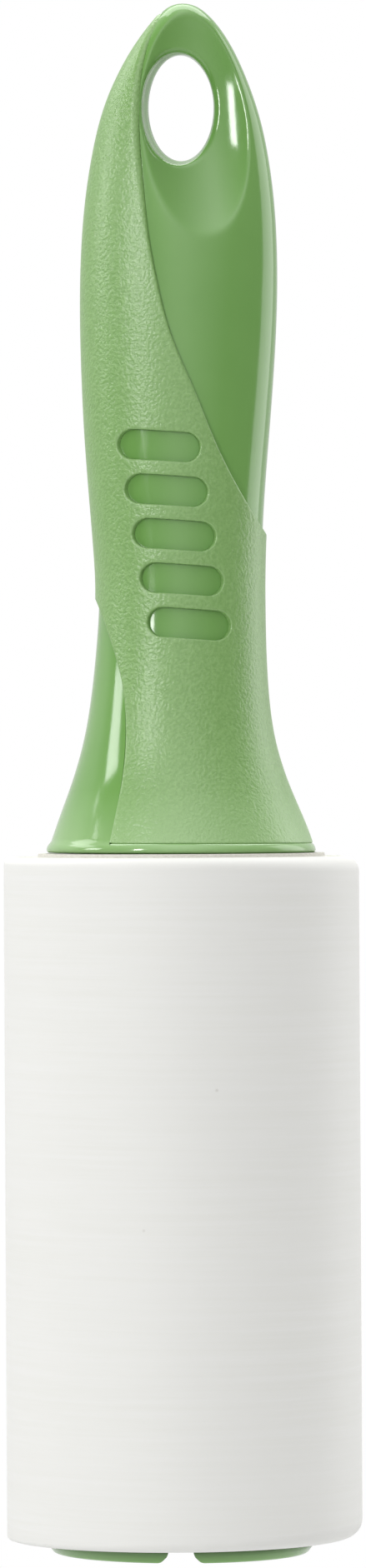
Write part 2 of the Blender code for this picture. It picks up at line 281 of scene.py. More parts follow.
def on_front(line):
    """The part of a line in x and height that lies on the handle, lifted to its front."""
    lean, a, b = section(line[:, 1])
    across = (line[:, 0] - lean) / np.maximum(a, 0.001)
    on = np.abs(across) < 1
    return np.column_stack([line[on, 0], -b[on] * np.sqrt(1 - across[on]**2), line[on, 1]])


class GripEdge:
    """Distance over the handle to the grip's edge, positive on the grip."""

    FINE = 0.02
    SPACING = 0.15
    COARSE = 15
    FAR = 40.0

    def __init__(self):
        inner = smooth_line(INNER_EDGE, self.FINE)
        lower = smooth_line(LOWER_EDGE, self.FINE)
        mirror = (1, -1, 1)
        front_inner = on_front(inner)
        front_lower = on_front(lower)[::-1]
        lean, a, b = section(GRIP_BOTTOM)
        start = -math.acos((LOWER_EDGE[0, 0] - lean) / a)
        angles = np.linspace(start, -start, 2000)
        bottom = np.column_stack([lean + a * np.cos(angles), b * np.sin(angles), 0 * angles + GRIP_BOTTOM])
        loops = (
            np.vstack([front_inner, front_inner[::-1] * mirror]),
            np.vstack([front_lower, bottom, front_lower[::-1] * mirror]),
        )
        self.points = np.empty((0, 3))
        self.after = np.empty(0, int)
        self.before = np.empty(0, int)
        for loop in loops:
            loop = self.even(np.vstack([loop, loop[:1]]))
            index = np.arange(len(loop))
            self.after = np.concatenate([self.after, len(self.points) + np.roll(index, -1)])
            self.before = np.concatenate([self.before, len(self.points) + np.roll(index, 1)])
            self.points = np.vstack([self.points, loop])
        self.tree = KDTree(len(self.points))
        for i, point in enumerate(self.points):
            self.tree.insert(point, i)
        self.tree.balance()
        inner, lower = inner[::self.COARSE], lower[::self.COARSE]
        far = self.FAR
        top = HANDLE[-1, 0] + far
        right = [(far, inner[-1, 1]), (far, GRIP_BOTTOM)]
        left = [(-far, lower[-1, 1]), (-far, top), (inner[0, 0], top)]
        self.outline = np.vstack([inner, right, lower, left])

    def even(self, loop):
        """The closed line with evenly spaced points, its repeated last one left out."""
        knots = chord_knots(loop)
        places = np.linspace(0, knots[-1], int(knots[-1] / self.SPACING) + 1)[:-1]
        return np.column_stack([np.interp(places, knots, loop[:, i]) for i in range(3)])

    def inside(self, x, z):
        """Whether points in x and height lie on the grip."""
        hits = np.zeros(len(x), bool)
        for (x0, z0), (x1, z1) in zip(self.outline, np.roll(self.outline, -1, axis=0)):
            if z0 != z1:
                hits ^= ((z0 > z) != (z1 > z)) & (x < x0 + (z - z0) * (x1 - x0) / (z1 - z0))
        return hits

    @staticmethod
    def to_span(point, start, end):
        along = end - start
        u = np.clip(((point - start) * along).sum(1) / (along**2).sum(1), 0, 1)
        return np.linalg.norm(point - start - u[:, None] * along, axis=1)

    def __call__(self, theta, s):
        point, _ = skin_at(theta, s)
        nearest = np.array([self.tree.find(p)[1] for p in point])
        here = self.points[nearest]
        gap = np.minimum(
            self.to_span(point, here, self.points[self.after[nearest]]),
            self.to_span(point, self.points[self.before[nearest]], here),
        )
        return np.where(self.inside(point[:, 0], point[:, 2]), gap, -gap)


grip_edge = GripEdge()


def pill_edge(theta, s):
    """Distance out from the nearest pill's edge, on the front only."""
    point, _ = skin_at(theta, s)
    along = np.array((math.cos(PILL_SLANT), math.sin(PILL_SLANT)))
    reach = (PILL_LENGTH - PILL_HEIGHT) / 2
    away = np.full(len(point), HANDLE[-1, 0])
    nearest = away
    for i in range(PILL_COUNT):
        local = point[:, (0, 2)] - np.array(PILL_TOP) - i * np.array(PILL_STEP)
        u = np.clip(local @ along, -reach, reach)
        nearest = np.minimum(nearest, np.linalg.norm(local - u[:, None] * along, axis=1) - PILL_HEIGHT / 2)
    return np.where(point[:, 1] < 0, nearest, away)


def eyelet_edge(theta, s):
    """Distance out from the eyelet's mouth."""
    point, _ = skin_at(theta, s)
    x = point[:, 0] - MOUTH[0]
    z = point[:, 2] - MOUTH[1]
    half_x, half_z = MOUTH_HALF
    size = np.hypot(x / half_x, z / half_z)
    steep = np.hypot(x / half_x**2, z / half_z**2) / np.maximum(size, 0.001)
    return (size - 1) / np.maximum(steep, 0.001)


def into_throat(spot):
    """A point of the eyelet's straight wall moved in towards the throat, most at the middle."""
    mouth = np.array((MOUTH[0], RIM + MOUTH[1]))
    throat = np.array((THROAT[0], RIM + THROAT[1]))
    flat = np.array((spot.x, spot.z)) / MM
    narrowed = throat + (flat - mouth) * np.array(THROAT_HALF) / np.array(MOUTH_HALF)
    share = 1 - smooth_step(abs(spot.y) / MM, 0, WALL_DEPTH)
    x, z = (flat + (narrowed - flat) * share) * MM
    return Vector((x, spot.y, z))


def scoop_depth(point):
    """How far the scoop round the eyelet sinks a point along Y."""
    x, y, z = (point - (SCOOP_CENTRE[0], 0, SCOOP_CENTRE[2])).T
    across = x * math.cos(SCOOP_TILT) + z * math.sin(SCOOP_TILT)
    along = z * math.cos(SCOOP_TILT) - x * math.sin(SCOOP_TILT)
    rx, ry, rz = SCOOP_RADII
    room = 1 - (across / rx)**2 - (along / rz)**2
    depth = np.abs(y) - SCOOP_CENTRE[1] + ry * np.sqrt(np.maximum(room, 0))
    soft = (depth + np.sqrt(depth**2 + SCOOP_SOFT**2)) / 2
    return soft * smooth_step(room, 0, 0.15) * smooth_step(depth, -2.5, -0.2)


def proud(height):
    """How far the grip stands out: nearly flush at the skirt and at the tip."""
    share = smooth_step(height, *PROUD_FROM) * (1 - smooth_step(height, *PROUD_UNTIL))
    return GRIP_PROUD_LOW + (GRIP_PROUD - GRIP_PROUD_LOW) * share


def edge_round(height):
    """The grip's edge is rounded more over the scoop, and hardly at the skirt."""
    low = EDGE_ROUND_LOW + (EDGE_ROUND - EDGE_ROUND_LOW) * smooth_step(height, *EDGE_SKIRT)
    return low + (EDGE_ROUND_TOP - EDGE_ROUND) * smooth_step(height, *EDGE_SCOOP)


def place(theta, s, out, scooped):
    """The handle's points in metres, moved out by out and, where scooped, sunk at the eyelet."""
    point, normal = skin_at(theta, s)
    if scooped:
        depth = scoop_depth(point) + round_over(np.maximum(eyelet_edge(theta, s), 0), EYELET_ROUND)
        point[:, 1] = np.sign(point[:, 1]) * np.maximum(np.abs(point[:, 1]) - depth, 0)
    point = point + normal * out[:, None]
    point[:, 2] = np.maximum(point[:, 2], HANDLE[0, 0]) + RIM
    return point * MM


# ---------------------------------------------------------------- sheets of faces cut along fields
def skin_grid():
    """The handle's surface as a flat grid: theta runs along x and s along y."""
    flat = bmesh.new()
    rows = np.concatenate([RIM_ROWS, np.linspace(BODY_START, TIP, ALONG)])
    columns = np.linspace(0, TURN, AROUND + 1)
    verts = [[flat.verts.new((theta, s, 0)) for theta in columns] for s in rows]
    for low, high in zip(verts, verts[1:]):
        for i in range(AROUND):
            flat.faces.new((low[i], low[i + 1], high[i + 1], high[i]))
    return flat


def grid_places(flat):
    """Theta and s of every vertex; the grid's last column is read as its first."""
    flat.verts.ensure_lookup_table()
    flat.verts.index_update()
    spots = np.array([v.co for v in flat.verts], float)
    return np.where(spots[:, 0] > TURN - 0.00001, 0, spots[:, 0]), np.minimum(spots[:, 1], TIP)


def cut_along(flat, field, levels):
    """Splits the faces along the lines where the field has the given levels."""
    for level in levels:
        values = field(*grid_places(flat)) - level
        values[np.abs(values) < 0.00001] = 0
        on_line = [v for v in flat.verts if values[v.index] == 0]
        crossed = []
        for edge in flat.edges:
            first, second = values[edge.verts[0].index], values[edge.verts[1].index]
            if first * second < 0:
                crossed.append((edge, first / (first - second)))
        for edge, share in crossed:
            on_line.append(bmesh.utils.edge_split(edge, edge.verts[0], share)[1])
        bmesh.ops.connect_verts(flat, verts=on_line)


def drop_faces(flat, field):
    """Removes the faces where the field is below zero."""
    middles = np.array([f.calc_center_median() for f in flat.faces], float)
    gone = field(middles[:, 0], middles[:, 1]) < 0
    bmesh.ops.delete(flat, geom=[f for f, out in zip(list(flat.faces), gone) if out], context="FACES")


def close_grid(flat):
    """Joins the grid's last column to its first, and its last row into the tip."""
    first = sorted((v for v in flat.verts if v.co.x < 0.00001), key=lambda v: v.co.y)
    last = sorted((v for v in flat.verts if v.co.x > TURN - 0.00001), key=lambda v: v.co.y)
    targets = {old: new for old, new in zip(last, first)}
    tip = [v for v in flat.verts if v.co.y > TIP - 0.00001]
    if tip:
        targets.update({v: first[-1] for v in tip if v is not first[-1]})
    bmesh.ops.weld_verts(flat, targetmap=targets)
    bmesh.ops.dissolve_degenerate(flat, dist=0, edges=flat.edges)


def new_piece(name, solid, sharp=35):
    """A closed bmesh as an object that is smooth but for its sharp edges."""
    bmesh.ops.triangulate(solid, faces=[f for f in solid.faces if len(f.verts) > 4])
    bmesh.ops.recalc_face_normals(solid, faces=solid.faces)
    mesh = bpy.data.meshes.new(name)
    solid.to_mesh(mesh)
    solid.free()
    mesh.shade_smooth()
    mesh.set_sharp_from_angle(angle=math.radians(sharp))
    piece = bpy.data.objects.new(name, mesh)
    bpy.context.scene.collection.objects.link(piece)
    return piece


def dress(piece, material, body, slot, *nodes):
    """Gives a piece its material and the body it rides on, and hides the nodes it stands for; slot is not
    used.
    """
    piece.data.materials.append(material)
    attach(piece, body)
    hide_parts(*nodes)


def grip_skin():
    """The textured second shot: a shell with a rounded edge and the pill windows through it."""
    flat = skin_grid()
    cut_along(flat, grip_edge, EDGE_LEVELS)
    cut_along(flat, pill_edge, PILL_LEVELS)
    drop_faces(flat, lambda theta, s: np.minimum(grip_edge(theta, s), pill_edge(theta, s)))
    close_grid(flat)
    bmesh.ops.delete(flat, geom=[v for v in flat.verts if not v.link_faces], context="VERTS")
    theta, s = grid_places(flat)
    height = skin_at(theta, s)[0][:, 2]
    drop = round_over(np.maximum(grip_edge(theta, s), 0), edge_round(height))
    drop += round_over(np.maximum(pill_edge(theta, s), 0), PILL_ROUND)
    top = place(theta, s, proud(height) - drop, False)
    under = place(theta, s, np.full(len(s), -GRIP_DEPTH), True)
    verts = list(flat.verts)
    faces = list(flat.faces)
    rims = [e.link_loops[0] for e in flat.edges if len(e.link_faces) == 1]
    rims = [(loop.vert, loop.link_loop_next.vert) for loop in rims]
    below = {v: flat.verts.new(spot) for v, spot in zip(verts, under)}
    for face in faces:
        flat.faces.new([below[v] for v in reversed(face.verts)])
    for a, b in rims:
        flat.faces.new((b, a, below[a], below[b]))
    for v, spot in zip(verts, top):
        v.co = spot
    return new_piece("grip_skin", flat, 50)


def handle_shell():
    """The gloss moulding, with the grip's seat, the eyelet, the scoops, the hollow and the axle's boss."""
    flat = skin_grid()
    cut_along(flat, grip_edge, (-SEAT_GAP, 0))
    cut_along(flat, pill_edge, (-2 * SEAT_GAP, -SEAT_GAP))
    cut_along(flat, eyelet_edge, EYELET_LEVELS)
    drop_faces(flat, eyelet_edge)
    close_grid(flat)
    bmesh.ops.delete(flat, geom=[v for v in flat.verts if not v.link_faces], context="VERTS")
    theta, s = grid_places(flat)
    seated = (grip_edge(theta, s) > -SEAT_GAP / 2) & (pill_edge(theta, s) > -1.5 * SEAT_GAP)
    bead = BEAD * np.sqrt(np.clip(1 - (2 * s / BEAD_LENGTH - 1)**2, 0, 1))
    plain = np.where(pill_edge(theta, s) < 0, -PAD_DEPTH, bead - round_over(s, RIM_ROUND))
    out = np.where(seated, -SEAT_DEPTH, plain)
    spots = place(theta, s, out, True)
    rim = sorted((v for v in flat.verts if v.co.y < 0.00001), key=lambda v: v.co.x)
    angles = [v.co.x for v in rim]
    mouths = [e for e in flat.edges if len(e.link_faces) == 1 and e.verts[0] not in rim]
    for v, spot in zip(flat.verts, spots):
        v.co = spot
    ring = rim
    for height, a, b in INSIDE:
        places = [(a * math.cos(t), b * math.sin(t), RIM + height) for t in angles]
        inner = [flat.verts.new(Vector(spot) * MM) for spot in places]
        for i in range(len(ring)):
            j = (i + 1) % len(ring)
            flat.faces.new((ring[j], ring[i], inner[i], inner[j]))
        ring = inner
    end = flat.verts.new((0, 0, (RIM + BORE_TOP) * MM))
    for i in range(len(ring)):
        flat.faces.new((ring[(i + 1) % len(ring)], ring[i], end))
    wall = bmesh.ops.bridge_loops(flat, edges=mouths)["edges"]
    across = [e for e in wall if e.verts[0].co.y * e.verts[1].co.y < 0]
    cuts = bmesh.ops.subdivide_edges(flat, edges=across, cuts=WALL_CUTS, use_grid_fill=False)["geom_inner"]
    for v in cuts:
        if isinstance(v, bmesh.types.BMVert):
            v.co = into_throat(v.co)
    return new_piece("handle_shell", flat)


# ---------------------------------------------------------------- turned pieces
def rounded(outline, steps=4):
    """A closed outline of (radius, height, corner round) with its corners rounded."""
    corners = np.array([corner[:2] for corner in outline], float)
    line = []
    for i, (_, _, radius) in enumerate(outline):
        here = corners[i]
        if not radius:
            line.append(here)
            continue
        back = corners[i - 1] - here
        ahead = corners[(i + 1) % len(corners)] - here
        shortest = min(np.linalg.norm(back), np.linalg.norm(ahead))
        back = back / np.linalg.norm(back)
        ahead = ahead / np.linalg.norm(ahead)
        half = math.acos(np.clip(back @ ahead, -1, 1)) / 2
        reach = min(radius / math.tan(half), 0.48 * shortest)
        centre = here + (back + ahead) / np.linalg.norm(back + ahead) * reach / math.cos(half)
        start = here + back * reach - centre
        end = here + ahead * reach - centre
        sweep = math.atan2(start[0] * end[1] - start[1] * end[0], start @ end)
        for t in np.linspace(0, sweep, steps + 1):
            c, s = math.cos(t), math.sin(t)
            line.append(centre + (start[0] * c - start[1] * s, start[0] * s + start[1] * c))
    return np.array(line)


def closed_rows(name, rows, sharp=35):
    """A closed piece from rows of points: each row is a closed ring, and the last row joins the first."""
    solid = bmesh.new()
    verts = [[solid.verts.new(Vector(spot) * MM) for spot in row] for row in rows]
    for low, high in zip(verts, verts[1:] + verts[:1]):
        for i in range(len(low)):
            j = (i + 1) % len(low)
            solid.faces.new((low[i], low[j], high[j], high[i]))
    bmesh.ops.remove_doubles(solid, verts=solid.verts, dist=0.0000001)
    bmesh.ops.delete(solid, geom=[e for e in solid.edges if not e.link_faces], context="EDGES")
    return new_piece(name, solid, sharp)


def turned(name, outline, segments=128, steps=4, radius_at=None):
    """A rounded outline turned about the Z axis. radius_at(radius, theta, height) may shape its surface."""
    theta = np.arange(segments) * TURN / segments
    rows = []
    for radius, height in rounded(outline, steps):
        r = radius_at(radius, theta, height) if radius_at else np.full(segments, radius)
        rows.append(np.column_stack([r * np.cos(theta), r * np.sin(theta), np.full(segments, height)]))
    return closed_rows(name, rows)


# ---------------------------------------------------------------- axle, washer and push nut
def axle_pin():
    r = AXLE_RADIUS
    outline = (
        (0.0, AXLE_TOP - 0.5, 0),
        (0.7, AXLE_TOP, 0.1),
        (r, AXLE_TOP, 0.5),
        (r, AXLE_BOTTOM + 1.3, 0.1),
        (r - 0.25, AXLE_BOTTOM + 1.1, 0.1),
        (r - 0.25, AXLE_BOTTOM + 0.8, 0.1),
        (r, AXLE_BOTTOM + 0.6, 0.1),
        (r, AXLE_BOTTOM, 0.4),
        (0.8, AXLE_BOTTOM, 0.1),
        (0.0, AXLE_BOTTOM + 0.5, 0),
    )
    return turned("axle_pin", outline, 64)


def washer_ring():
    inner = AXLE_RADIUS + 0.1
    outline = (
        (WASHER_RADIUS, WASHER_TOP, 0.2),
        (WASHER_RADIUS, WASHER_BOTTOM, 0.2),
        (inner, WASHER_BOTTOM, 0.15),
        (inner, WASHER_TOP, 0.15),
    )
    return turned("washer_ring", outline, 96)


def push_nut_spring(teeth=8):
    """A dished spring washer whose slotted teeth bite the axle."""
    thickness = 0.5
    segments = teeth * 24
    theta = np.arange(segments) * TURN / segments
    slot = smooth_step(np.abs((theta * teeth / TURN) % 1 - 0.5), 0.36, 0.42)
    inner = AXLE_RADIUS + 0.08 + 1.3 * slot
    rows = []
    for side in (0, 1):
        for u in (np.linspace(0, 1, 14) if side else np.linspace(1, 0, 14)):
            r = inner + (NUT_RADIUS - inner) * u
            dish = 1.15 * smooth_step(r, AXLE_RADIUS, AXLE_RADIUS + 2.2)
            flange = 0.35 * smooth_step(r, NUT_RADIUS - 0.9, NUT_RADIUS)
            z = NUT_TOP - thickness * (1 - side) - 1.3 + dish - flange
            rows.append(np.column_stack([r * np.cos(theta), r * np.sin(theta), z]))
    return closed_rows("push_nut_spring", rows, 50)


# ---------------------------------------------------------------- cage
DISC_THICKNESS = 3.0
COLLAR_RADIUS = 6.0
COLLAR_HEIGHT = 1.0
SLEEVE_OUTER = 5.2
BORE = 3.3
FINGER_OUTER = 19.5
FINGER_INNER = 17.7
LIP_RADIUS = 19.8
SLIT_WIDTH = 3.6
SLIT_MOUTH = 7.5
SLIT_FLARE = 2.2
SLIT_EDGE = 0.35


def hub():
    """End disc with a collar, and the sleeve that turns on the axle."""
    disc_top = HUB_TOP - COLLAR_HEIGHT
    disc_bottom = disc_top - DISC_THICKNESS
    outline = (
        (COLLAR_RADIUS, HUB_TOP, 0.25),
        (COLLAR_RADIUS, disc_top, 0.4),
        (HUB_RADIUS, disc_top, 0.5),
        (HUB_RADIUS, disc_bottom, 0.5),
        (HUB_RADIUS - 2.6, disc_bottom, 0.4),
        (HUB_RADIUS - 3.0, disc_bottom + 1.2, 0.4),
        (SLEEVE_OUTER + 1.6, disc_bottom + 1.2, 0.8),
        (SLEEVE_OUTER + 0.4, disc_bottom - 2.5, 0.8),
        (SLEEVE_OUTER, HUB_BOTTOM, 0.35),
        (BORE, HUB_BOTTOM, 0.3),
        (BORE, HUB_TOP, 0.3),
    )
    return turned("cage_hub_moulding", outline, 160)


def slit_half(height):
    """Half the slit between the fingers, which flares in a quarter round at the mouth."""
    up = np.clip(height / SLIT_FLARE, 0, 1)
    return SLIT_WIDTH / 2 + (SLIT_MOUTH - SLIT_WIDTH) / 2 * (1 - np.sqrt(1 - (1 - up)**2))


def finger(name, side):
    """Half a slotted tube with a rounded lip, closed by flat faces along the slit."""
    outline = (
        (FINGER_OUTER, FINGER_TOP, 0.3),
        (FINGER_OUTER, 30.0, 0),
        (FINGER_OUTER, 12.0, 0),
        (FINGER_OUTER, 2.9, 0.8),
        (LIP_RADIUS, 2.0, 0.4),
        (LIP_RADIUS, 1.2, 1.0),
        (18.9, 0.0, 0.9),
        (17.8, 0.0, 0.45),
        (FINGER_INNER, 1.4, 0.5),
        (FINGER_INNER, 12.0, 0),
        (FINGER_INNER, 30.0, 0),
        (FINGER_INNER, FINGER_TOP, 0.3),
    )
    solid = bmesh.new()
    columns = 97
    rows = []
    for r, z in rounded(outline, 6):
        limit = math.pi / 2 - math.asin(slit_half(z) / r)
        angles = np.linspace(-limit, limit, columns)
        spots = [Vector((side * r * math.cos(t), r * math.sin(t), z)) * MM for t in angles]
        rows.append([solid.verts.new(spot) for spot in spots])
    for low, high in zip(rows, rows[1:] + rows[:1]):
        for i in range(columns - 1):
            solid.faces.new((low[i], low[i + 1], high[i + 1], high[i]))
    ends = [solid.faces.new([row[i] for row in rows]) for i in (0, -1)]
    edges = {e for face in ends for e in face.edges}
    bmesh.ops.bevel(
        solid,
        geom=list(edges),
        offset=SLIT_EDGE * MM,
        segments=3,
        profile=0.5,
        affect="EDGES",
        clamp_overlap=True,
    )
    bmesh.ops.dissolve_degenerate(solid, dist=0.000001, edges=solid.edges)
    return new_piece(name, solid)


# ---------------------------------------------------------------- refill
SHEET_THICKNESS = 0.2
LAYER_PITCH = 0.24
CORE_INNER = 20.15
REFILL_LEAN = math.radians(0.3)
REFILL_SHIFT = 0.05
FREE_EDGE = math.radians(115)
FREE_EDGE_GAP = math.radians(1.3)
CORNER_STEPS = 7


def corner_top(theta):
    """The roll's corners are worn unevenly round it."""
    return 1.75 + 0.55 * np.cos(theta)


def corner_bottom(theta):
    return 1.6 + 1.1 * np.cos(theta)


def leaning(piece):
    """The refill hangs a little out of line on its cage, turned about the middle of its top."""
    to_top = Matrix.Translation(Vector((0, 0, -ROLL_TOP)) * MM)
    back = Matrix.Translation(Vector((REFILL_SHIFT, 0, ROLL_TOP)) * MM)
    piece.data.transform(back @ Matrix.Rotation(-REFILL_LEAN, 4, "Y") @ to_top)
    return piece


def board_tube():
    """Cardboard core: a spiral-wound tube with its seam as a shallow helical groove."""
    segments = 144
    lift = 70.0
    theta = np.arange(segments) * TURN / segments

    def groove(z, sign):
        phase = (theta / TURN - sign * z / lift) % 1
        return 0.07 * np.exp(-((np.minimum(phase, 1 - phase)) / 0.006)**2)

    heights = np.linspace(ROLL_BOTTOM + 0.3, CORE_TOP - 0.3, 110)
    plies = np.linspace(CORE_OUTER - 0.05, CORE_INNER + 0.1, 11)
    ripple = 0.035 * np.cos(np.arange(len(plies)) * math.pi)
    rows = [(CORE_OUTER - groove(z, 1), z) for z in heights]
    rows += [(r, CORE_TOP - 0.04 + dz) for r, dz in zip(plies, ripple)]
    rows += [(CORE_INNER + groove(z, -1), z) for z in heights[::-1]]
    rows += [(r, ROLL_BOTTOM + 0.04 - dz) for r, dz in zip(plies[::-1], ripple)]
    rows = [np.column_stack([r * np.cos(theta), r * np.sin(theta), np.full(segments, z)]) for r, z in rows]
    return closed_rows("board_tube", rows, 50)


def layer_relief(radius, theta):
    """Height of the wound layers' edges, which run in one spiral and stand a little unevenly."""
    turns = (radius - CORE_OUTER) / LAYER_PITCH - theta / TURN
    across = turns % 1
    wound = np.floor(turns) + theta / TURN
    uneven = 0.05 * np.sin(2.1 * wound + 1) + 0.04 * np.sin(5.3 * wound) + 0.02 * np.sin(13.7 * wound)
    return -0.07 * (2 * across - 1)**4 + uneven * 0.5


def wound_sheets():
    """The stack of sheets: one solid whose ends show the edges of its layers."""
    segments = 240
    theta = np.arange(segments) * TURN / segments
    inner = CORE_OUTER + 0.03
    outer = ROLL_RADIUS - SHEET_THICKNESS - 0.03
    shares = np.linspace(0, 1, 84)
    arcs = np.linspace(0, math.pi / 2, CORNER_STEPS)
    rows = []
    for end, corner, sign in ((ROLL_TOP, corner_top(theta), 1), (ROLL_BOTTOM, corner_bottom(theta), -1)):
        face = []
        for share in shares:
            r = inner + (outer - corner - inner) * share
            fade = smooth_step(1 - share, 0, 0.06) * smooth_step(share, 0, 0.01)
            face.append((r, end + sign * (layer_relief(r, theta) - 0.1) * fade))
        for angle in arcs[1:]:
            r = outer - corner * (1 - math.sin(angle))
            face.append((r, end - sign * corner * (1 - math.cos(angle))))
        rows += face if sign > 0 else face[::-1]
    rows = [np.column_stack([r * np.cos(theta), r * np.sin(theta), z]) for r, z in rows]
    return closed_rows("wound_sheets", rows, 60)


def edge_of(skin):
    """The points all the way round the edge of a grid of rows."""
    far_side = [row[-1] for row in skin[1:-1]]
    near_side = [row[0] for row in skin[-2:0:-1]]
    return [*skin[0], *far_side, *skin[-1][::-1], *near_side]


def sheet_in_use():
    """The outermost sheet, rolled over the worn corners, with its free edge lifted at the back."""
    columns = 300
    sweep = np.linspace(0, 1, columns)
    theta = FREE_EDGE + FREE_EDGE_GAP / 2 + (TURN - FREE_EDGE_GAP) * sweep
    lift = 0.35 * smooth_step(sweep, 0.985, 1.0)
    arcs = np.linspace(math.radians(75), 0, CORNER_STEPS)
    rows = []
    for corner, end, sign in ((corner_bottom(theta), ROLL_BOTTOM, 1), (corner_top(theta), ROLL_TOP, -1)):
        part = []
        for angle in arcs:
            in_by = corner * (1 - math.cos(angle))
            part.append((ROLL_RADIUS - in_by, end + sign * corner * (1 - math.sin(angle))))
        rows += part if sign > 0 else part[::-1]
    middle = CORNER_STEPS
    low, high = rows[middle - 1], rows[middle]
    body = [(low[0], low[1] + (high[1] - low[1]) * u) for u in np.linspace(0, 1, 42)[1:-1]]
    rows = rows[:middle] + body + rows[middle:]
    solid = bmesh.new()
    skins = []
    for inward in (0, SHEET_THICKNESS):
        skin = []
        for r, z in rows:
            r = r - inward + lift
            spots = np.column_stack([r * np.cos(theta), r * np.sin(theta), z]) * MM
            skin.append([solid.verts.new(spot) for spot in spots])
        skins.append(skin)
    for skin in skins:
        for a, b in zip(skin, skin[1:]):
            for i in range(columns - 1):
                solid.faces.new((a[i], a[i + 1], b[i + 1], b[i]))
    rim, under = (edge_of(skin) for skin in skins)
    for i in range(len(rim)):
        j = (i + 1) % len(rim)
        solid.faces.new((rim[i], rim[j], under[j], under[i]))
    return new_piece("sheet_in_use", solid)


# ---------------------------------------------------------------- materials
def add(tree, kind, inputs=None, **settings):
    """A node with its settings, and its inputs as values or as other nodes' outputs."""
    node = tree.nodes.new("ShaderNode" + kind)
    for name, value in settings.items():
        setattr(node, name, value)
    for name, value in (inputs or {}).items():
        if isinstance(value, bpy.types.NodeSocket):
            tree.links.new(value, node.inputs[name])
        else:
            node.inputs[name].default_value = value
    return node


def new_material(name, roughness, **fixed):
    """A material, its tree, its shader and its object coordinates in millimetres."""
    material = bpy.data.materials.new(name)
    material.use_nodes = True
    tree = material.node_tree
    shader = tree.nodes["Principled BSDF"]
    shader.inputs["Roughness"].default_value = roughness
    for key, value in fixed.items():
        shader.inputs[key.replace("_", " ")].default_value = value
    spot = add(tree, "TexCoord").outputs["Object"]
    place_mm = add(tree, "Mapping", {"Vector": spot, "Scale": (1 / MM, 1 / MM, 1 / MM)}).outputs["Vector"]
    return material, tree, shader, place_mm


def stretched(tree, vector, scale):
    return add(tree, "Mapping", {"Vector": vector, "Scale": scale}).outputs["Vector"]


def noise(tree, vector, scale, detail=2.0, rough=0.5):
    inputs = {"Vector": vector, "Scale": scale, "Detail": detail, "Roughness": rough}
    return add(tree, "TexNoise", inputs).outputs["Fac"]


def spread(tree, value, low, high, to_low, to_high):
    """A value mapped from one range to another and held inside it."""
    inputs = {"Value": value, "From Min": low, "From Max": high, "To Min": to_low, "To Max": to_high}
    return add(tree, "MapRange", inputs).outputs["Result"]


def blended(tree, share, first, second):
    """Two colours mixed by a share."""
    node = add(tree, "Mix", data_type="RGBA")
    tree.links.new(share, node.inputs["Factor"])
    colours = [socket for socket in node.inputs if socket.type == "RGBA"]
    for socket, value in zip(colours, (first, second)):
        if isinstance(value, bpy.types.NodeSocket):
            tree.links.new(value, socket)
        else:
            socket.default_value = (*value, 1)
    return next(socket for socket in node.outputs if socket.type == "RGBA")


def bumped(tree, height, distance, strength=1.0, below=None):
    inputs = {"Height": height, "Distance": distance * MM, "Strength": strength}
    if below:
        inputs["Normal"] = below
    return add(tree, "Bump", inputs).outputs["Normal"]


def finish(tree, shader, colour, normal, rough=None):
    """Links a material's results to its shader."""
    tree.links.new(colour, shader.inputs["Base Color"])
    tree.links.new(normal, shader.inputs["Normal"])
    if rough:
        tree.links.new(rough, shader.inputs["Roughness"])


def height_of(tree, spot):
    return add(tree, "SeparateXYZ", {"Vector": spot}).outputs["Z"]


def near_rim(tree, spot):
    """Where the greens turn paler over the skirt's lowest 9 mm, to stand in for light off the roll."""
    height = height_of(tree, spot)
    above = spread(tree, height, RIM + 9, RIM + 1.5, 0, 1)
    return spread(tree, height, RIM - 1, RIM - 0.5, 0, above)


def near_core(tree, spot):
    """Where the fingers' lips turn darker, to stand in for the shade of the roll above them."""
    height = height_of(tree, spot)
    below = spread(tree, height, 2.6, 3.4, 0.75, 0)
    return spread(tree, height, 0.2, 1.7, 0, below)


def gloss_green():
    material, tree, shader, spot = new_material("gloss_green", 0.12, IOR=1.65)
    tone = spread(tree, noise(tree, spot, 0.06, 3), 0.35, 0.65, 0, 1)
    colour = blended(tree, tone, (0.168, 0.360, 0.090), (0.182, 0.378, 0.100))
    colour = blended(tree, near_rim(tree, spot), colour, (0.270, 0.470, 0.180))
    colour = blended(tree, near_core(tree, spot), colour, (0.045, 0.105, 0.030))
    haze = noise(tree, stretched(tree, spot, (1, 1, 0.12)), 2.2, 4, 0.6)
    rough = spread(tree, haze, 0.3, 0.75, 0.08, 0.15)
    waves = noise(tree, spot, 0.16, 2)
    scratches = noise(tree, stretched(tree, spot, (6, 6, 0.25)), 2.0, 3, 0.7)
    normal = bumped(tree, waves, 0.05, 0.5)
    normal = bumped(tree, scratches, 0.0015, 0.5, normal)
    finish(tree, shader, colour, normal, rough)
    return material


def textured_green():
    material, tree, shader, spot = new_material("textured_green", 0.5, IOR=1.5, Specular_IOR_Level=1.0)
    grain = noise(tree, spot, 2.1, 2, 0.5)
    fine = noise(tree, spot, 6.5, 2, 0.5)
    broad = noise(tree, spot, 0.12, 3)
    # The grain is bump relief. Its colour follows the bumps, with painted shade in the pits and a painted
    # sheen on the tops.
    tone = spread(tree, grain, 0.35, 0.68, 0, 1)
    colour = blended(tree, tone, (0.190, 0.368, 0.102), (0.245, 0.440, 0.142))
    colour = blended(tree, spread(tree, broad, 0.35, 0.65, 0, 0.25), colour, (0.218, 0.408, 0.122))
    colour = blended(tree, near_rim(tree, spot), colour, (0.290, 0.490, 0.190))
    rough = spread(tree, fine, 0.3, 0.7, 0.28, 0.38)
    normal = bumped(tree, spread(tree, grain, 0.32, 0.68, 0, 1), 0.042, 1.0)
    normal = bumped(tree, fine, 0.010, 0.8, normal)
    finish(tree, shader, colour, normal, rough)
    return material


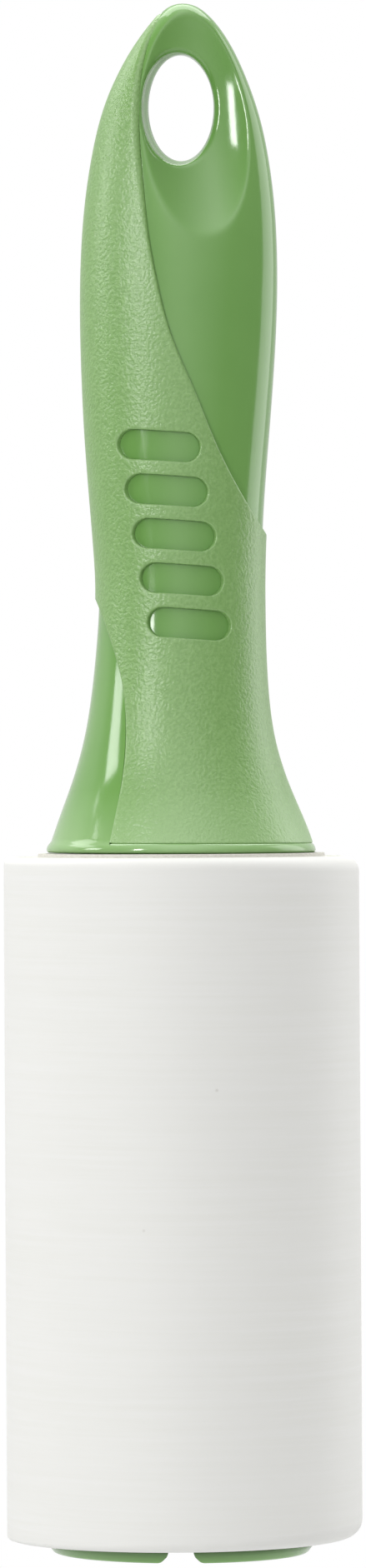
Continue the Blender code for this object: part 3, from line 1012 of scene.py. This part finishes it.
def white_paper():
    material, tree, shader, spot = new_material("white_paper", 0.55, IOR=1.45)
    streaks = noise(tree, stretched(tree, spot, (0.03, 0.03, 1.3)), 1.0, 4, 0.65)
    clouds = noise(tree, spot, 0.05, 3)
    fibres = noise(tree, stretched(tree, spot, (1, 1, 3)), 3.0, 4, 0.7)
    specks = add(tree, "TexVoronoi", {"Vector": spot, "Scale": 0.055}).outputs["Distance"]
    tone = spread(tree, streaks, 0.35, 0.7, 0, 1)
    colour = blended(tree, tone, (0.805, 0.805, 0.770), (0.830, 0.830, 0.805))
    colour = blended(tree, spread(tree, clouds, 0.35, 0.7, 0, 0.4), colour, (0.815, 0.815, 0.790))
    colour = blended(tree, spread(tree, specks, 0.0, 0.018, 0.45, 0), colour, (0.45, 0.43, 0.38))
    rough = spread(tree, fibres, 0.3, 0.7, 0.45, 0.62)
    normal = bumped(tree, fibres, 0.006, 0.6)
    normal = bumped(tree, streaks, 0.02, 0.35, normal)
    finish(tree, shader, colour, normal, rough)
    return material


def cut_paper():
    """The layers' cut edges at the roll's ends: matt, with patches of darker, yellower stain."""
    material, tree, shader, spot = new_material("cut_paper", 0.85, IOR=1.4)
    fibres = noise(tree, spot, 4.0, 4, 0.7)
    stain = noise(tree, spot, 0.25, 3)
    colour = blended(tree, spread(tree, fibres, 0.35, 0.65, 0, 1), (0.70, 0.69, 0.65), (0.82, 0.81, 0.78))
    colour = blended(tree, spread(tree, stain, 0.45, 0.75, 0, 0.5), colour, (0.72, 0.70, 0.63))
    normal = bumped(tree, fibres, 0.02, 0.8)
    finish(tree, shader, colour, normal)
    return material


def core_board():
    material, tree, shader, spot = new_material("core_board", 0.9, IOR=1.4)
    fibres = noise(tree, stretched(tree, spot, (1, 1, 4)), 1.6, 5, 0.7)
    flecks = noise(tree, spot, 3.0, 2)
    colour = blended(tree, spread(tree, fibres, 0.3, 0.7, 0, 1), (0.60, 0.58, 0.52), (0.78, 0.77, 0.72))
    colour = blended(tree, spread(tree, flecks, 0.68, 0.78, 0, 0.6), colour, (0.35, 0.30, 0.23))
    normal = bumped(tree, fibres, 0.03, 0.8)
    finish(tree, shader, colour, normal)
    return material


def plated_steel():
    material, tree, shader, spot = new_material("plated_steel", 0.3, Metallic=1.0)
    brush = noise(tree, stretched(tree, spot, (0.6, 0.6, 9)), 1.5, 4, 0.6)
    bloom = noise(tree, spot, 0.5, 3)
    colour = blended(tree, spread(tree, bloom, 0.35, 0.7, 0, 1), (0.58, 0.58, 0.60), (0.68, 0.68, 0.68))
    rough = spread(tree, brush, 0.3, 0.7, 0.22, 0.4)
    normal = bumped(tree, brush, 0.004, 0.6)
    finish(tree, shader, colour, normal, rough)
    return material


def natural_nylon():
    material, tree, shader, spot = new_material("natural_nylon", 0.45, IOR=1.53)
    cloud = noise(tree, spot, 0.7, 3)
    colour = blended(tree, spread(tree, cloud, 0.35, 0.7, 0, 1), (0.74, 0.72, 0.64), (0.84, 0.82, 0.76))
    rough = spread(tree, noise(tree, spot, 3.0, 3), 0.3, 0.7, 0.38, 0.55)
    normal = bumped(tree, cloud, 0.01, 0.5)
    finish(tree, shader, colour, normal, rough)
    return material


def floor_grey():
    material, tree, shader, spot = new_material("floor_grey", 0.8)
    tone = noise(tree, spot, 0.01, 3)
    colour = blended(tree, spread(tree, tone, 0.3, 0.7, 0, 1), (0.58, 0.58, 0.58), (0.62, 0.62, 0.62))
    tree.links.new(colour, shader.inputs["Base Color"])
    return material


# ---------------------------------------------------------------- studio
CAMERA_DISTANCE = 1.2
CAMERA_HEIGHT = 0.1146
FRAME_HEIGHT = 0.2341
FLOOR_HEIGHT = -0.13
FLOOR_RADIUS = 1.15


def add_floor():
    """A plain pale disc, low enough for the refill to slide off above it."""
    flat = bmesh.new()
    bmesh.ops.create_circle(flat, cap_ends=True, segments=96, radius=FLOOR_RADIUS)
    mesh = bpy.data.meshes.new("floor")
    flat.to_mesh(mesh)
    flat.free()
    floor = bpy.data.objects.new("floor", mesh)
    floor.location = (0, 0, FLOOR_HEIGHT)
    mesh.materials.append(floor_grey())
    bpy.context.scene.collection.objects.link(floor)


def add_camera():
    camera = bpy.data.cameras.new("camera")
    camera.sensor_width = 36
    camera.lens = camera.sensor_width * CAMERA_DISTANCE / FRAME_HEIGHT
    item = bpy.data.objects.new("camera", camera)
    item.location = (0.0003, -CAMERA_DISTANCE, CAMERA_HEIGHT)
    item.rotation_euler = (math.pi / 2, 0, 0)
    bpy.context.scene.collection.objects.link(item)
    bpy.context.scene.camera = item


def add_softbox(name, azimuth, elevation, size, brightness):
    """A soft light 1 m away; azimuth 0 is the camera's side, and it grows towards +X."""
    light = bpy.data.lights.new(name, "AREA")
    light.shape = "RECTANGLE"
    light.size, light.size_y = size
    light.energy = brightness * math.pi * size[0] * size[1]
    azimuth = math.radians(azimuth)
    elevation = math.radians(elevation)
    way = Vector((math.sin(azimuth), -math.cos(azimuth), math.tan(elevation))).normalized()
    item = bpy.data.objects.new(name, light)
    item.location = Vector((0, 0, CAMERA_HEIGHT)) + way
    item.rotation_euler = way.to_track_quat("Z", "Y").to_euler()
    bpy.context.scene.collection.objects.link(item)


def add_world():
    """White to the camera; as a light, brighter behind and above, and dim at the right in front."""
    world = bpy.data.worlds.new("studio")
    bpy.context.scene.world = world
    world.use_nodes = True
    tree = world.node_tree
    tree.nodes.clear()
    way = add(tree, "SeparateXYZ", {"Vector": add(tree, "TexCoord").outputs["Generated"]}).outputs
    left = spread(tree, way["X"], -0.75, -0.1, 0, 1.35)
    right = spread(tree, way["X"], 0.05, 0.7, 1.0, 0.2)
    above = spread(tree, way["Z"], -0.4, 0.9, 0.3, 1.3)
    behind = spread(tree, way["Y"], 0, 0.35, 0, 1)
    strength = 1.0
    for share in (left, right, above):
        strength = add(tree, "Math", {0: strength, 1: share}, operation="MULTIPLY").outputs[0]
    rest = add(tree, "Math", {0: 1.0, 1: behind}, operation="SUBTRACT").outputs[0]
    back = add(tree, "Math", {0: behind, 1: 0.8}, operation="MULTIPLY").outputs[0]
    strength = add(tree, "Math", {0: strength, 1: rest, 2: back}, operation="MULTIPLY_ADD").outputs[0]
    lit = add(tree, "Background", {"Color": (1, 1, 1, 1), "Strength": strength}).outputs[0]
    seen = add(tree, "Background", {"Color": (1, 1, 1, 1), "Strength": 1.0}).outputs[0]
    ray = add(tree, "LightPath").outputs["Is Camera Ray"]
    mixed = add(tree, "MixShader", {0: ray, 1: lit, 2: seen}).outputs[0]
    tree.links.new(mixed, add(tree, "OutputWorld").inputs["Surface"])


# ---------------------------------------------------------------- everything in its place
green = gloss_green()
steel = plated_steel()
dress(handle_shell(), green, "handle", "gloss_green", "handle_body")
dress(grip_skin(), textured_green(), "handle", "textured_green", "grip_overmould")
dress(axle_pin(), steel, "handle", "plated_steel", "axle")
dress(washer_ring(), natural_nylon(), "handle", "natural_nylon", "thrust_washer")
dress(push_nut_spring(), steel, "handle", "plated_steel", "push_nut")
dress(hub(), green, "cage", "gloss_green", "cage_hub")
dress(finger("left_finger_moulding", -1), green, "left_spring", "gloss_green", "left_finger")
dress(finger("right_finger_moulding", 1), green, "right_spring", "gloss_green", "right_finger")
dress(leaning(board_tube()), core_board(), "refill", "core_board", "core_tube")
dress(leaning(wound_sheets()), cut_paper(), "refill", "white_paper", "sheet_roll")
dress(leaning(sheet_in_use()), white_paper(), "refill", "white_paper", "outer_sheet")

add_floor()
add_world()
add_softbox("strip", -38, 18.5, (0.13, 0.40), 16)
add_softbox("left", -84, 19.5, (0.25, 0.34), 6.6)
add_softbox("back_left", -114, 36, (0.5, 0.25), 2.4)
add_softbox("right", 113, 10, (0.65, 1.2), 1.4)
add_softbox("top", 180, 66, (1.2, 0.7), 2.8)
add_camera()
bpy.context.scene.view_settings.view_transform = "Standard"
